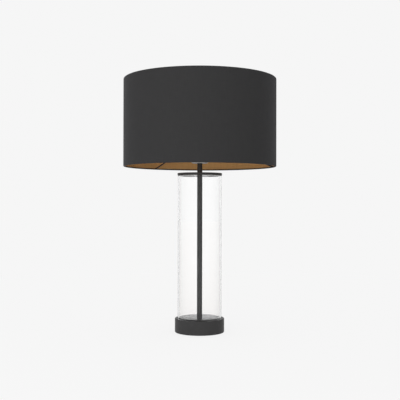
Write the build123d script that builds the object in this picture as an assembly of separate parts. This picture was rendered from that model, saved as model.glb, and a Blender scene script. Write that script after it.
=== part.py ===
"""Table lamp: a clear glass column on a weighted round base, under a drum shade.

One hollow threaded rod pulls the stand together. Base, glass, cap and neck are stacked on it between
the nut in the base weight and the lampholder screwed on at the top. The shade hangs on the lampholder
by a three-armed carrier, clamped by a ring. Millimetres, +Z up, origin on the table under the axis.
"""

import os
from math import sqrt

from build123d import *

# Base: painted steel cup with a crowned plate inside the glass, cast weight, rubber foot
base_diameter = 113.0
base_height = 33.0
base_wall = 2.5
base_top_thickness = 6.0
base_edge_radius = 1.8
plate_step = 1.6
plate_crown = 1.4
plate_edge_radius = 1.0
foot_thickness = 2.0
foot_proud = 1.0
foot_pad_inset = 5.0
base_fit_clearance = 0.5
nut_well_diameter = 30.0
nut_well_depth = 14.0

# Cord inlet: bush in the back of the base, and the channel behind it
cord_bore_diameter = 6.6
cord_axis_height = 10.5
bush_wall = 1.8
bush_flange_width = 2.0
bush_flange_thickness = 2.0
bush_flange_round = 0.8
bush_tail_length = 3.0
bush_barb_height = 0.5
bush_barb_length = 2.0
bush_clearance = 0.1
channel_clearance = 0.6

# Rod that holds the stand together, its nut and washer, and its two cover tubes
rod_diameter = 10.0
rod_bore_diameter = 7.5
rod_clearance = 0.3
rod_end_below_nut = 1.5
nut_across_flats = 14.0
nut_thickness = 4.0
nut_clearance = 0.1
washer_diameter = 26.0
washer_thickness = 2.0
tube_diameter = 12.0
tube_seat_width = 1.0
neck_length = 22.5

# Glass column, its two gaskets, and the cap on top of it
glass_diameter = 100.0
glass_wall = 2.5
glass_length = 327.5
glass_rim_radius = 0.8
groove_depth = 3.0
groove_clearance = 0.3
gasket_thickness = 1.0
cap_diameter = 102.4
cap_thickness = 5.0
cap_edge_radius = 0.6
cap_spigot_depth = 1.8

# Lampholder for a 27 mm screw cap, sized from the screw shell outwards
shell_bore_diameter = 27.0
shell_wall = 0.5
shell_clearance = 0.1
shell_below_rim = 3.0
shell_tab_width = 5.0
core_wall = 2.6
core_floor = 4.0
core_boss_depth = 3.0
core_clearance = 0.2
core_seat_width = 1.2
skirt_wall = 2.6
skirt_thread_length = 20.0
skirt_lip_thickness = 2.0
skirt_lip_width = 1.7
collar_wall = 2.9
collar_height = 14.0
flange_seat_width = 5.5
flange_thickness = 2.5
spigot_wall = 2.5
spigot_height = 6.0
spigot_clearance = 0.1
dome_height = 29.0
dome_shoulder = 1.5
dome_floor = 6.0
dome_round = 4.0
set_screw_diameter = 3.0
set_screw_length = 5.0
set_screw_clearance = 0.1

# Switch bar pushed through the lampholder from either side
bar_width = 6.0
bar_height = 8.0
bar_travel = 5.0
bar_stub = 4.0
bar_clearance = 0.3
bar_edge_radius = 1.2
bar_floor_gap = 4.0

# Contacts and terminals in the lampholder
tongue_height = 3.0
tongue_thickness = 0.6
tongue_width = 6.0
tongue_tip_length = 7.0
tongue_foot_length = 4.0
tongue_bend_radius = 0.8
terminal_width = 7.0
terminal_depth = 6.0
terminal_height = 7.0
terminal_wall_gap = 1.3
stud_diameter = 3.0
stud_clearance = 0.1
terminal_screw_diameter = 3.0
terminal_screw_length = 4.0
terminal_head_diameter = 5.2
terminal_head_thickness = 2.0
terminal_slot_width = 0.8
terminal_slot_depth = 0.8

# Drum shade: fabric rolled over two wire rings, with a metallic lining
shade_diameter = 350.0
shade_height = 200.0
fabric_thickness = 0.5
lining_thickness = 0.5
glue_gap = 0.05
wire_diameter = 2.0
wire_clearance = 0.3
hem_lip_rise = 0.4
hem_round_share = 0.45

# Shade carrier and the ring that clamps it
spider_rise = 51.0
spider_arm_count = 3
spider_first_angle = 9.2
arm_diameter = 3.0
arm_tip_length = 8.0
arm_bend_offset = 2.0
arm_bend_radius = 8.0
arm_weld_depth = 0.2
arm_notch_clearance = 0.3
arm_notch_length = 10.0
fitter_clearance = 1.0
fitter_thickness = 2.0
ring_thread_clearance = 0.3
ring_seat_width = 7.5
ring_flange_thickness = 2.5
ring_grip_step = 4.0
ring_height = 9.0
ring_arm_gap = 2.0
grip_count = 24
grip_radius = 1.0

# Lamp bulb with a 27 mm screw cap
bulb_diameter = 60.0
bulb_length = 106.0
bulb_cap_clearance = 0.4
bulb_cap_wall = 0.6
bulb_cap_length = 25.0
bulb_tip_diameter = 9.6
bulb_tip_height = 1.5
bulb_insulator_height = 2.5
bulb_insulator_inset = 0.6
bulb_neck_step = 0.5
bulb_spigot_length = 6.0
bulb_spigot_clearance = 0.1
globe_wall = 1.2
globe_drop = 15.0

# Cuts run past a face by this much, and radii closer than this are the same
overrun = 1.0
same_size = 0.001

# Radii that several pieces share
base_radius = base_diameter / 2
base_inner_radius = base_radius - base_wall
inside_base_radius = base_inner_radius - base_fit_clearance
rod_radius = rod_diameter / 2
rod_hole_radius = rod_radius + rod_clearance
tube_radius = tube_diameter / 2
glass_outer_radius = glass_diameter / 2
glass_inner_radius = glass_outer_radius - glass_wall
inside_glass_radius = glass_inner_radius - groove_clearance
outside_glass_radius = glass_outer_radius + groove_clearance
bush_radius = cord_bore_diameter / 2 + bush_wall
channel_half_width = bush_radius + bush_barb_height + channel_clearance
shell_bore_radius = shell_bore_diameter / 2
shell_outer_radius = shell_bore_radius + shell_wall
socket_radius = shell_outer_radius + shell_clearance
core_radius = socket_radius + core_wall
skirt_bore_radius = core_radius + core_clearance
skirt_radius = skirt_bore_radius + skirt_wall
dome_bore_radius = core_radius - core_seat_width
spigot_radius = dome_bore_radius + spigot_wall
dome_radius = spigot_radius + dome_shoulder
fitter_bore_radius = skirt_radius + fitter_clearance
ring_radius = fitter_bore_radius + ring_seat_width
arm_tip_radius = ring_radius + ring_arm_gap
fitter_radius = arm_tip_radius + arm_tip_length
shade_radius = shade_diameter / 2
wire_radius = wire_diameter / 2
lining_outer_radius = shade_radius - fabric_thickness - glue_gap
lining_inner_radius = lining_outer_radius - lining_thickness
wire_line_radius = lining_inner_radius - wire_clearance - wire_radius
bulb_cap_radius = shell_bore_radius - bulb_cap_clearance
bulb_radius = bulb_diameter / 2

# Heights, stacked from the table up
base_ceiling = base_height - base_top_thickness
well_ceiling = foot_thickness + nut_well_depth
nut_top = well_ceiling - washer_thickness
rod_bottom = nut_top - nut_thickness - rod_end_below_nut
plate_rim = base_height + plate_step
plate_top = plate_rim + plate_crown
base_groove_floor = base_height - groove_depth
glass_bottom = base_groove_floor + gasket_thickness
glass_top = glass_bottom + glass_length
cap_bottom = glass_top + gasket_thickness
cap_spigot_bottom = cap_bottom - cap_spigot_depth
cap_top = cap_bottom + cap_thickness
holder_bottom = cap_top + neck_length
set_screw_level = holder_bottom + dome_floor / 2
dome_floor_top = holder_bottom + dome_floor
bar_level = dome_floor_top + bar_floor_gap + bar_height / 2
skirt_bottom = holder_bottom + dome_height
spigot_top = skirt_bottom + spigot_height
flange_top = skirt_bottom + collar_height
skirt_top = flange_top + skirt_thread_length
skirt_lip_bottom = skirt_top - skirt_lip_thickness
socket_floor = spigot_top + core_floor
boss_bottom = spigot_top - core_boss_depth
bulb_bottom = socket_floor + tongue_height
fitter_top = flange_top + fitter_thickness
shade_bottom = flange_top - spider_rise
shade_top = shade_bottom + shade_height
wire_rise = fabric_thickness + wire_clearance + wire_radius
arm_rise = fabric_thickness + wire_clearance + arm_diameter / 2

terminal_offset = dome_bore_radius - terminal_wall_gap - terminal_head_thickness - terminal_depth / 2
terminal_sides = (1, -1)


def turned(*outline):
    """Solid turned about Z from a closed outline of (radius, height) points."""
    return revolve(make_face(Plane.XZ * Polyline(*outline, close=True)), Axis.Z)


def collar(inner_radius, outer_radius, bottom, top):
    """Plain ring about Z."""
    return turned(
        (inner_radius, bottom), (outer_radius, bottom), (outer_radius, top), (inner_radius, top)
    )


def rims(part, radius):
    """Circular edges of a turned piece at one radius, lowest first."""
    circles = part.edges().filter_by(GeomType.CIRCLE)
    return circles.filter_by(lambda rim: abs(rim.radius - radius) < same_size).sort_by(Axis.Z)


def round_bar(radius, length, start, direction):
    """Cylinder that starts at a point and runs along a direction."""
    bar = Cylinder(radius, length, align=(Align.CENTER, Align.CENTER, Align.MIN))
    return Plane(origin=start, z_dir=direction) * bar


def base_shell():
    """Spun cup, open below: crowned plate, groove for the glass round it, cord hole at the back."""
    seat = (tube_radius + tube_seat_width, plate_top)
    plate_corner = (inside_glass_radius, plate_rim)
    crown = TangentArc(seat, plate_corner, tangent=(1, 0))
    rest = Polyline(
        plate_corner,
        (inside_glass_radius, base_groove_floor),
        (outside_glass_radius, base_groove_floor),
        (outside_glass_radius, base_height),
        (base_radius, base_height),
        (base_radius, foot_proud),
        (base_inner_radius, foot_proud),
        (base_inner_radius, base_ceiling),
        (rod_hole_radius, base_ceiling),
        (rod_hole_radius, plate_top),
        seat,
    )
    cup = revolve(make_face(Plane.XZ * (crown + rest)), Axis.Z)
    cup = fillet(rims(cup, base_radius), base_edge_radius)
    cup = fillet(rims(cup, inside_glass_radius)[-1], plate_edge_radius)
    return cup - round_bar(
        bush_radius + bush_clearance, base_diameter, (0, 0, cord_axis_height), (0, 1, 0)
    )


def base_weight():
    """Cast disc with a well for the nut and a channel for the cord, open below."""
    disc = collar(rod_hole_radius, inside_base_radius, foot_thickness, base_ceiling)
    disc -= round_bar(
        nut_well_diameter / 2, nut_well_depth + overrun, (0, 0, foot_thickness - overrun), (0, 0, 1)
    )
    channel_height = cord_axis_height + channel_half_width - foot_thickness
    channel = Box(
        2 * channel_half_width,
        base_diameter,
        channel_height + overrun,
        align=(Align.CENTER, Align.MIN, Align.MIN),
    )
    return disc - Pos(0, 0, foot_thickness - overrun) * channel


def base_foot():
    """Rubber disc that closes the base, with a narrower pad that stands a little proud below it."""
    disc = round_bar(inside_base_radius, foot_thickness - foot_proud, (0, 0, foot_proud), (0, 0, 1))
    return disc + round_bar(inside_base_radius - foot_pad_inset, foot_proud, (0, 0, 0), (0, 0, 1))


def cord_bush():
    """Snap-in bush, its flange hollowed to sit on the round wall."""
    tail_start = base_inner_radius - bush_tail_length
    axis = (0, 1, 0)

    def stepped(radius, start, end):
        return round_bar(radius, end - start, (0, start, cord_axis_height), axis)

    flange_end = base_radius + bush_flange_thickness
    flange = stepped(bush_radius + bush_flange_width, base_radius - bush_flange_thickness, flange_end)
    flange = fillet(flange.edges().sort_by(Axis.Y)[-1], bush_flange_round)
    flange -= round_bar(base_radius, base_height, (0, 0, 0), (0, 0, 1))
    bush = flange + stepped(bush_radius, tail_start, base_radius + bush_flange_thickness / 2)
    bush += stepped(bush_radius + bush_barb_height, tail_start, tail_start + bush_barb_length)
    return bush - stepped(cord_bore_diameter / 2, tail_start - overrun, flange_end + overrun)


def rod_washer():
    return collar(rod_hole_radius, washer_diameter / 2, nut_top, well_ceiling)


def rod_nut():
    """Thin lamp nut under the weight."""
    nut = extrude(RegularPolygon(nut_across_flats / 2, 6, major_radius=False), nut_thickness)
    nut = Pos(0, 0, nut_top - nut_thickness) * nut
    bore = round_bar(
        rod_radius + nut_clearance, nut_thickness + 2 * overrun, (0, 0, rod_bottom), (0, 0, 1)
    )
    return nut - bore


def threaded_rod():
    """Hollow rod from the nut up into the lampholder. The cord runs inside it."""
    return collar(rod_bore_diameter / 2, rod_radius, rod_bottom, dome_floor_top)


def lower_gasket():
    return collar(glass_inner_radius, glass_outer_radius, base_groove_floor, glass_bottom)


def glass_column():
    """Clear tube with fire-polished rims."""
    tube = collar(glass_inner_radius, glass_outer_radius, glass_bottom, glass_top)
    ends = rims(tube, glass_inner_radius) + rims(tube, glass_outer_radius)
    return fillet(ends, glass_rim_radius)


def upper_gasket():
    return collar(glass_inner_radius, glass_outer_radius, glass_top, cap_bottom)


def lower_tube():
    """Black cover tube inside the glass."""
    return collar(rod_hole_radius, tube_radius, plate_top, cap_spigot_bottom)


def cap_disc():
    """Turned disc that rests on the glass, with a spigot below that fits inside it."""
    disc = collar(rod_hole_radius, cap_diameter / 2, cap_bottom, cap_top)
    disc = fillet(rims(disc, cap_diameter / 2), cap_edge_radius)
    spigot = collar(rod_hole_radius, inside_glass_radius, cap_spigot_bottom, cap_bottom)
    return disc + fillet(rims(spigot, inside_glass_radius)[0], cap_edge_radius)


def neck_tube():
    """Short cover tube between the cap and the lampholder."""
    return collar(rod_hole_radius, tube_radius, cap_top, holder_bottom)


def holder_dome():
    """Lower half of the lampholder: thick threaded floor, switch slots and a spigot for the skirt."""
    dome = turned(
        (rod_radius + nut_clearance, holder_bottom),
        (dome_radius, holder_bottom),
        (dome_radius, skirt_bottom),
        (spigot_radius, skirt_bottom),
        (spigot_radius, spigot_top),
        (dome_bore_radius, spigot_top),
        (dome_bore_radius, dome_floor_top),
        (rod_radius + nut_clearance, dome_floor_top),
    )
    dome = fillet(rims(dome, dome_radius)[0], dome_round)
    slot = Box(
        2 * (dome_radius + overrun), bar_width + 2 * bar_clearance, bar_height + 2 * bar_clearance
    )
    dome -= Pos(0, 0, bar_level) * slot
    hole_radius = set_screw_diameter / 2 + set_screw_clearance
    return dome - round_bar(hole_radius, dome_radius + overrun, (0, 0, set_screw_level), (0, 1, 0))


def set_screw():
    """Headless screw in the floor that stops the lampholder turning on the rod."""
    start = (0, rod_radius + nut_clearance, set_screw_level)
    return round_bar(set_screw_diameter / 2, set_screw_length, start, (0, 1, 0))


def switch_bar():
    """Bar switch at rest: pushed out on +X by its travel, and it slides towards -X."""
    reach = dome_radius + bar_stub
    bar = Box(
        2 * reach + bar_travel,
        bar_width,
        bar_height,
        align=(Align.MIN, Align.CENTER, Align.CENTER),
    )
    return Pos(-reach, 0, bar_level) * fillet(bar.edges(), bar_edge_radius)


def holder_skirt():
    """Upper half: screws over the dome, carries the shade on its flange and holds the core down."""
    collar_bore_radius = spigot_radius + spigot_clearance
    collar_radius = collar_bore_radius + collar_wall
    flange_radius = fitter_bore_radius + flange_seat_width
    return turned(
        (collar_bore_radius, skirt_bottom),
        (collar_radius, skirt_bottom),
        (collar_radius, flange_top - flange_thickness),
        (flange_radius, flange_top - flange_thickness),
        (flange_radius, flange_top),
        (skirt_radius, flange_top),
        (skirt_radius, skirt_top),
        (skirt_bore_radius - skirt_lip_width, skirt_top),
        (skirt_bore_radius - skirt_lip_width, skirt_lip_bottom),
        (skirt_bore_radius, skirt_lip_bottom),
        (skirt_bore_radius, spigot_top),
        (collar_bore_radius, spigot_top),
    )


def holder_core():
    """Ceramic cup on the dome's rim. Two studs pass through its floor."""
    boss_radius = dome_bore_radius - core_clearance
    core = turned(
        (0, boss_bottom),
        (boss_radius, boss_bottom),
        (boss_radius, spigot_top),
        (core_radius, spigot_top),
        (core_radius, skirt_lip_bottom),
        (socket_radius, skirt_lip_bottom),
        (socket_radius, socket_floor),
        (0, socket_floor),
    )
    for side in terminal_sides:
        core -= round_bar(
            stud_diameter / 2 + stud_clearance,
            socket_floor - boss_bottom + 2 * overrun,
            (0, side * terminal_offset, boss_bottom - overrun),
            (0, 0, 1),
        )
    return core


def screw_shell():
    """Threaded sleeve in the core, with a tab on the floor that reaches its terminal's stud."""
    sleeve = collar(shell_bore_radius, shell_outer_radius, socket_floor, skirt_lip_bottom - shell_below_rim)
    tab_length = shell_bore_radius - terminal_offset + stud_diameter
    tab = Box(shell_tab_width, tab_length, shell_wall, align=(Align.CENTER, Align.MIN, Align.MIN))
    tab = Pos(0, -shell_outer_radius, socket_floor) * tab
    return sleeve + (tab & round_bar(shell_outer_radius, core_floor, (0, 0, socket_floor), (0, 0, 1)))


def centre_contact():
    """Springy tongue: its foot on the live stud, its raised tip under the bulb."""
    low = socket_floor + tongue_thickness / 2
    high = bulb_bottom - tongue_thickness / 2
    foot = terminal_offset - tongue_foot_length / 2
    strip = FilletPolyline(
        (terminal_offset + tongue_foot_length / 2, low),
        (foot, low),
        (tongue_tip_length / 2, high),
        (-tongue_tip_length / 2, high),
        radius=tongue_bend_radius,
    )
    return extrude(Plane.YZ * trace(strip, tongue_thickness), tongue_width / 2, both=True)


def terminals():
    """Two brass blocks under the core, each with a stud up through the floor."""
    blocks = []
    for side in terminal_sides:
        block = Box(
            terminal_width, terminal_depth, terminal_height, align=(Align.CENTER, Align.CENTER, Align.MAX)
        )
        block = Pos(0, side * terminal_offset, boss_bottom) * block
        block += round_bar(
            stud_diameter / 2,
            socket_floor - boss_bottom,
            (0, side * terminal_offset, boss_bottom),
            (0, 0, 1),
        )
        face = terminal_offset + terminal_depth / 2
        hole_radius = terminal_screw_diameter / 2 + stud_clearance
        hole_start = (0, side * face, boss_bottom - terminal_height / 2)
        block -= round_bar(hole_radius, terminal_screw_length, hole_start, (0, -side, 0))
        blocks.append(block)
    return Compound(blocks)


def terminal_screws():
    """Slotted cheese-head screws that clamp the conductors."""
    screws = []
    level = boss_bottom - terminal_height / 2
    for side in terminal_sides:
        face = side * (terminal_offset + terminal_depth / 2)
        outward = (0, side, 0)
        screw = round_bar(terminal_head_diameter / 2, terminal_head_thickness, (0, face, level), outward)
        screw += round_bar(
            terminal_screw_diameter / 2, terminal_screw_length, (0, face, level), (0, -side, 0)
        )
        slot = Box(terminal_head_diameter + overrun, 2 * terminal_slot_depth, terminal_slot_width)
        screw -= Pos(0, face + side * terminal_head_thickness, level) * slot
        screws.append(screw)
    return Compound(screws)


def shade_cover():
    """Fabric drum. Both edges are rolled inwards over a wire, and notched below for the arms."""
    wall = shade_radius - fabric_thickness / 2
    lip = wire_line_radius - wire_radius - wire_clearance - fabric_thickness / 2
    low = shade_bottom + fabric_thickness / 2
    high = shade_top - fabric_thickness / 2
    lip_end = wire_rise + hem_lip_rise
    section = FilletPolyline(
        (lip, shade_bottom + lip_end),
        (lip, low),
        (wall, low),
        (wall, high),
        (lip, high),
        (lip, shade_top - lip_end),
        radius=hem_round_share * (wall - lip),
    )
    drum = revolve(Plane.XZ * trace(section, fabric_thickness), Axis.Z)
    foot, bend, _ = arm_corners()
    notch = round_bar(arm_diameter / 2 + arm_notch_clearance, arm_notch_length, foot, bend - foot)
    return drum - [place * notch for place in arm_places()]


def shade_lining():
    """Metallic sheet glued inside the fabric, between the two rings."""
    return collar(
        lining_inner_radius, lining_outer_radius, shade_bottom + wire_rise, shade_top - wire_rise
    )


def lower_ring():
    """Wire in the lower hem."""
    return Pos(0, 0, shade_bottom + wire_rise) * Torus(wire_line_radius, wire_radius)


def upper_ring():
    """Wire in the upper hem."""
    return Pos(0, 0, shade_top - wire_rise) * Torus(wire_line_radius, wire_radius)


def arm_places():
    return PolarLocations(0, spider_arm_count, start_angle=spider_first_angle)


def arm_corners():
    """Axis of one arm: from the lower ring up to a bend, then flat under the fitter."""
    tip_level = flange_top - arm_diameter / 2 + arm_weld_depth
    return (
        Vector(wire_line_radius, 0, shade_bottom + arm_rise),
        Vector(fitter_radius + arm_bend_offset, 0, tip_level),
        Vector(arm_tip_radius, 0, tip_level),
    )


def spider_arms():
    """Wires from the lower ring to the fitter, welded at both ends."""
    foot, bend, tip = arm_corners()
    path = FilletPolyline(foot, bend, tip, radius=arm_bend_radius)
    wire = sweep(Plane(origin=foot, z_dir=bend - foot) * Circle(arm_diameter / 2), path)
    wire = wire - lower_ring() - fitter()
    return Compound([place * wire for place in arm_places()])


def fitter():
    """Washer at the middle of the carrier, on the lampholder's flange."""
    return collar(fitter_bore_radius, fitter_radius, flange_top, fitter_top)


def shade_ring():
    """Threaded ring with a gripped collar, screwed down on the fitter."""
    top = fitter_top + ring_height
    grip_line = ring_radius - ring_grip_step
    ring = turned(
        (skirt_radius + ring_thread_clearance, fitter_top),
        (ring_radius, fitter_top),
        (ring_radius, fitter_top + ring_flange_thickness),
        (grip_line, fitter_top + ring_flange_thickness),
        (grip_line, top),
        (skirt_radius + ring_thread_clearance, top),
    )
    flute = round_bar(grip_radius, ring_height, (0, 0, fitter_top + ring_flange_thickness), (0, 0, 1))
    return ring - [place * flute for place in PolarLocations(grip_line, grip_count)]


def bulb_tip():
    """Solder contact at the bottom of the bulb."""
    return round_bar(bulb_tip_diameter / 2, bulb_tip_height, (0, 0, bulb_bottom), (0, 0, 1))


def bulb_insulator():
    """Black glass cone between the contact and the cap."""
    low = bulb_bottom + bulb_tip_height
    high = low + bulb_insulator_height
    return turned(
        (0, low), (bulb_tip_diameter / 2, low), (bulb_cap_radius - bulb_insulator_inset, high), (0, high)
    )


def bulb_cap():
    """Screw cap."""
    low = bulb_bottom + bulb_tip_height + bulb_insulator_height
    inner = bulb_cap_radius - bulb_cap_wall
    high = bulb_bottom + bulb_cap_length
    return turned(
        (0, low),
        (bulb_cap_radius, low),
        (bulb_cap_radius, high),
        (inner, high),
        (inner, low + bulb_cap_wall),
        (0, low + bulb_cap_wall),
    )


def globe_centre():
    return bulb_bottom + bulb_length - bulb_radius


def bulb_neck():
    """Flared housing between the cap and the globe."""
    cap_rim = bulb_bottom + bulb_cap_length
    spigot = bulb_cap_radius - bulb_cap_wall - bulb_spigot_clearance
    seat = (sqrt(bulb_radius**2 - globe_drop**2), globe_centre() - globe_drop)
    start = (bulb_cap_radius + bulb_neck_step, cap_rim)
    flare = Spline(start, seat, tangents=((0, 1), (globe_drop, seat[0])))
    rest = Polyline(
        seat,
        (0, seat[1]),
        (0, cap_rim - bulb_spigot_length),
        (spigot, cap_rim - bulb_spigot_length),
        (spigot, cap_rim),
        start,
    )
    return revolve(make_face(Plane.XZ * (flare + rest)), Axis.Z)


def bulb_globe():
    """Opal globe, cut off flat where it sits on the neck."""
    ball = Sphere(bulb_radius) - Sphere(bulb_radius - globe_wall)
    return Pos(0, 0, globe_centre()) * split(ball, Plane.XY.offset(-globe_drop), keep=Keep.TOP)


pieces = (
    base_shell,
    base_weight,
    base_foot,
    cord_bush,
    rod_washer,
    rod_nut,
    threaded_rod,
    lower_gasket,
    glass_column,
    upper_gasket,
    lower_tube,
    cap_disc,
    neck_tube,
    holder_dome,
    set_screw,
    switch_bar,
    holder_skirt,
    holder_core,
    screw_shell,
    centre_contact,
    terminals,
    terminal_screws,
    shade_cover,
    shade_lining,
    lower_ring,
    upper_ring,
    spider_arms,
    fitter,
    shade_ring,
    bulb_tip,
    bulb_insulator,
    bulb_cap,
    bulb_neck,
    bulb_globe,
)

os.makedirs("parts", exist_ok=True)
for piece in pieces:
    export_step(piece(), f"parts/{piece.__name__}.step")
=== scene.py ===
import math

import bmesh
import bpy
from mathutils import Matrix, Vector


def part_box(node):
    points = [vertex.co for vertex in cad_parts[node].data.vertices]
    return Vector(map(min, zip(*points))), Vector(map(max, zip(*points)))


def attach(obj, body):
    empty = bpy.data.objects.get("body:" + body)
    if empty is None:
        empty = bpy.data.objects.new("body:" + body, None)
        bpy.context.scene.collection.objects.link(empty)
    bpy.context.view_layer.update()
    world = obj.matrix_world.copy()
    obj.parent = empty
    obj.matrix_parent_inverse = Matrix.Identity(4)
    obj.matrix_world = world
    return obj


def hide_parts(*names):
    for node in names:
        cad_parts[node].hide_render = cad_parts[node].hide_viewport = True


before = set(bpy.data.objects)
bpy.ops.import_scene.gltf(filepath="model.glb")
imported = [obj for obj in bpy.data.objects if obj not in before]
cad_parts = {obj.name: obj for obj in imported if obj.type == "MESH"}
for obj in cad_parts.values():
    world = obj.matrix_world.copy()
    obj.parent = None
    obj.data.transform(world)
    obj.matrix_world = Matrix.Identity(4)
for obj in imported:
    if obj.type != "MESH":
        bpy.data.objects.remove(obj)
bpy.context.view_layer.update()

scene = bpy.context.scene
scene.view_settings.view_transform = "Standard"


# Camera: straight in front of the lamp, lower than the shade's lower edge, so that it sees up under the
# shade and down on the base. The photograph leans by a tenth of a degree, and so does the camera.
photo_width_px = 400
focal_length_px = 725.6
sensor_width_mm = 36.0
camera_distance = 1.667
camera_height = 0.289
camera_tilt = math.radians(0.48)
camera_lean = math.radians(-0.11)
camera_turn = math.radians(-0.0214)
camera_lens = bpy.data.cameras.new("photo_camera")
camera_lens.sensor_width = sensor_width_mm
camera_lens.lens = focal_length_px * sensor_width_mm / photo_width_px
camera = bpy.data.objects.new("photo_camera", camera_lens)
camera.location = (0, -camera_distance, camera_height)
camera.rotation_euler = (math.pi / 2 + camera_tilt, camera_lean, camera_turn)
scene.collection.objects.link(camera)
scene.camera = camera


# Studio: an even pale sweep all round, lit by one wide soft light and one low strip beside the camera. The
# room behind the camera is dim, so gloss shows it darker; glass shows the bright paper, with painted shade
# near the lamp.
sweep_tone = (0.921, 0.921, 0.921, 1)
sweep_through_glass = (1.098, 1.098, 1.098, 1)
paper_through_glass = (1.195, 1.187, 1.18, 1)
# Paper seen through the glass is painted darker near the lamp: a painted shadow of the lamp on the floor.
shaded_through_glass = (1.06, 1.035, 1.02, 1)
shaded_reach = 0.6
sweep_in_gloss = (1.64, 1.64, 1.64, 1)
low_sweep_in_gloss = (0.3, 0.3, 0.3, 1)
low_sweep_to = 0.015
low_sweep_spread = 0.06
paper_in_gloss_tone = (1.35, 1.35, 1.35, 1)
paper_beside_tone = (0.25, 0.25, 0.25, 1)
paper_strip_half_width = 0.036
paper_strip_spread = 0.014
dim_room_tone = (0.3, 0.3, 0.3, 1)
bright_from = 0.94
bright_spread = 0.04
sweep_in_rims = (0.5, 0.5, 0.5, 1)
glass_side_tone = (1.15, 1.15, 1.15, 1)
glass_side_from = 0.2
glass_side_spread = 0.25
glass_edge_tone = (1.26, 1.26, 1.26, 1)
glass_edge_tone_low = (1.14, 1.14, 1.14, 1)
glass_edge_from = 0.78
glass_edge_spread = 0.06
glass_edge_passes = 1
glass_inside_passes = 3
half_count = 0.5
sweep_light = 0.68
floor_half_width = 12.0
floor_drop = 0.0002
floor_tone = (0.8, 0.8, 0.8, 1)
floor_glow = (0.973, 0.973, 0.973, 1)
floor_shadow_share = 0.14
floor_shadow_reach = 1.5
soft_light_size = (2.6, 1.5)
soft_light_place = (-1.3, -2.4, 0.75)
soft_light_watts = 28.0
low_light_size = (1.6, 0.35)
low_light_place = (-0.95, -2.1, 0.2)
low_light_watts = 10.0


class Flow:
    """One output of a shader node. Sums and products of flows add Math nodes to the same tree."""

    def __init__(self, tree, socket=None):
        self.tree = tree
        self.socket = socket

    def node(self, kind, settings, inputs, output=0):
        """Adds a node: its settings first, then the values or flows of its sockets."""
        made = self.tree.nodes.new("ShaderNode" + kind)
        for setting, value in settings.items():
            setattr(made, setting, value)
        for name, value in inputs.items():
            if isinstance(value, Flow):
                self.tree.links.new(value.socket, made.inputs[name])
            else:
                made.inputs[name].default_value = value
        return Flow(self.tree, made.outputs[output] if made.outputs else None)

    def beside(self, output):
        """Another output of the node that this flow comes from."""
        return Flow(self.tree, self.socket.node.outputs[output])

    def sum(self, operation, *values):
        return self.node("Math", {"operation": operation}, dict(enumerate(values)))

    def mix(self, first, second):
        """Colour that goes from first to second as this flow goes from 0 to 1."""
        return self.node("Mix", {"data_type": "RGBA"}, {0: self, 6: first, 7: second}, 2)

    def __add__(self, other):
        return self.sum("ADD", self, other)

    def __sub__(self, other):
        return self.sum("SUBTRACT", self, other)

    def __rsub__(self, other):
        return self.sum("SUBTRACT", other, self)

    def __mul__(self, other):
        return self.sum("MULTIPLY", self, other)

    def __abs__(self):
        return self.sum("ABSOLUTE", self)

    __radd__ = __add__
    __rmul__ = __mul__


def seen_directly(start):
    """1 for what the camera sees, straight or in gloss or through glass, and 0 for light that it gives."""
    path = start.node("LightPath", {}, {}, "Is Camera Ray")
    seen = path.sum("MAXIMUM", path, path.beside("Is Glossy Ray"))
    seen = path.sum("MAXIMUM", seen, path.beside("Is Transmission Ray"))
    return seen * path.sum("LESS_THAN", path.beside("Diffuse Depth"), half_count)


def glass_passes(path, count):
    """1 for light that has gone through a face of the glass at least that many times."""
    return path.sum("GREATER_THAN", path.beside("Transmission Depth"), count - half_count)


def in_gloss(path, aim, inside_tone, edge_tone):
    """Tone of the room in gloss: inside the glass, in its edges and outside it.

    aim is 1 right behind the lamp and falls off to the sides.
    """
    behind = (aim - bright_from) * (1 / bright_spread)
    outside = behind.mix(dim_room_tone, sweep_in_rims)
    inside = behind.mix(dim_room_tone, inside_tone)
    beside = ((aim - glass_side_from) * (1 / glass_side_spread)).mix(dim_room_tone, glass_side_tone)
    edge = ((aim - glass_edge_from) * (1 / glass_edge_spread)).mix(beside, edge_tone)
    is_inside = glass_passes(path, glass_inside_passes)
    is_edge = glass_passes(path, glass_edge_passes) - is_inside
    return is_edge.mix(is_inside.mix(outside, inside), edge)


scene.world = bpy.data.worlds.new("sweep")
scene.world.use_nodes = True
scene.world.node_tree.nodes.clear()
sky = Flow(scene.world.node_tree)
sky_aim = sky.node("SeparateXYZ", {}, {"Vector": sky.node("TexCoord", {}, {}, "Generated")}, "Y")
sky_ray = sky.node("LightPath", {}, {}, "Is Transmission Ray")
sky_seen = sky_ray.mix(sweep_tone, sweep_through_glass)
sky_high = (sky_aim.beside("Z") - low_sweep_to) * (1 / low_sweep_spread)
sky_inside = sky_high.mix(low_sweep_in_gloss, sweep_in_gloss)
sky_in_gloss = in_gloss(sky_ray, sky_aim, sky_inside, glass_edge_tone)
sky_seen = sky_ray.beside("Glossy Depth").mix(sky_seen, sky_in_gloss)
sky_tone = seen_directly(sky).mix((sweep_light, sweep_light, sweep_light, 1), sky_seen)
sky.node("OutputWorld", {}, {"Surface": sky.node("Background", {}, {"Color": sky_tone})})

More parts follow.
